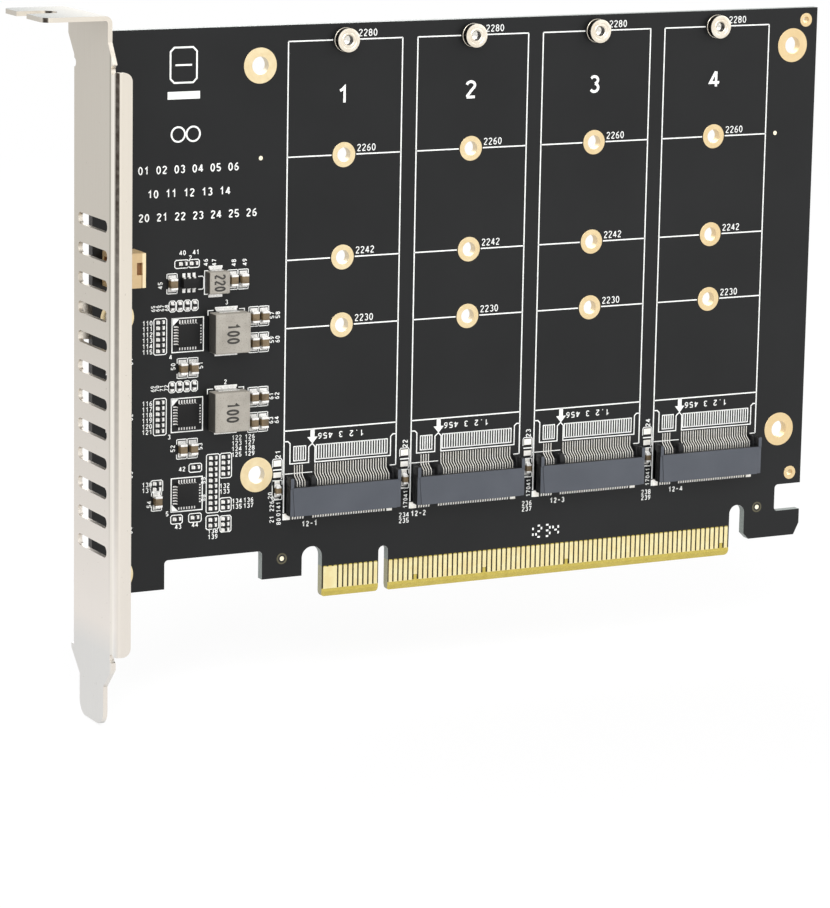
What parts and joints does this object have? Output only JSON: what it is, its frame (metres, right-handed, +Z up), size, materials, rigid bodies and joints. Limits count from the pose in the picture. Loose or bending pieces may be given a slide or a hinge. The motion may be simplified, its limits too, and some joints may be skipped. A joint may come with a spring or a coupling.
{
  "type": "drive adapter card",
  "caption": "Full-height add-in card that carries stick-type solid-state drives: printed board with edge connector, drive sockets, stand-offs and a vented steel bracket.",
  "frame": {"origin": "middle of the key notch on the lower edge of the edge connector, on the component face of the board", "axes": "+X along the board towards the retention end, away from the bracket; +Z up, away from the slot; the component side faces -Y"},
  "size_m": [0.1572, 0.0215, 0.1214],
  "materials": {
    "board_laminate": "black solder mask over glass laminate, satin gloss",
    "gold_plate": "gold over nickel, semi-bright",
    "bracket_steel": "bright nickel-plated steel sheet",
    "screw_steel": "nickel-plated steel, bright",
    "stand_off_nickel": "nickel-plated brass, turned",
    "socket_nylon": "black high-temperature moulding, fine matt",
    "contact_metal": "plated copper alloy strip",
    "inductor_alloy": "pressed grey alloy powder, matt",
    "tinned_metal": "bright tin",
    "chip_epoxy": "black moulded epoxy, matt",
    "capacitor_ceramic": "tan fired ceramic",
    "resistor_ceramic": "black glazed film on ceramic",
    "lamp_resin": "clear to milky resin",
    "header_nylon": "natural nylon, smooth"
  },
  "bodies": {
    "root": {"bracket": "bracket_steel", "bracket_screws": "screw_steel", "circuit_board": "board_laminate", "clock_chip": "chip_epoxy", "edge_contacts_back": "gold_plate", "edge_contacts_front": "gold_plate", "filter_capacitor_bodies": "capacitor_ceramic", "filter_capacitor_ends": "tinned_metal", "front_leads_1": "contact_metal", "front_leads_2": "contact_metal", "front_leads_3": "contact_metal", "front_leads_4": "contact_metal", "lead_header": "header_nylon", "lead_header_pins": "tinned_metal", "lower_converter_chip": "chip_epoxy", "lower_inductor_body": "inductor_alloy", "lower_inductor_clips": "tinned_metal", "rear_leads_1": "contact_metal", "rear_leads_2": "contact_metal", "rear_leads_3": "contact_metal", "rear_leads_4": "contact_metal", "resistors": "resistor_ceramic", "small_capacitors": "capacitor_ceramic", "small_inductor_body": "inductor_alloy", "small_inductor_clips": "tinned_metal", "socket_capacitor_bodies": "capacitor_ceramic", "socket_capacitor_ends": "tinned_metal", "socket_hold_downs": "tinned_metal", "socket_housing_1": "socket_nylon", "socket_housing_2": "socket_nylon", "socket_housing_3": "socket_nylon", "socket_housing_4": "socket_nylon", "stand_off_nuts": "stand_off_nickel", "stand_off_posts": "stand_off_nickel", "status_lamps": "lamp_resin", "switch_chip": "chip_epoxy", "switch_chip_leads": "tinned_metal", "upper_converter_chip": "chip_epoxy", "upper_inductor_body": "inductor_alloy", "upper_inductor_clips": "tinned_metal"}
  },
  "joints": []
}
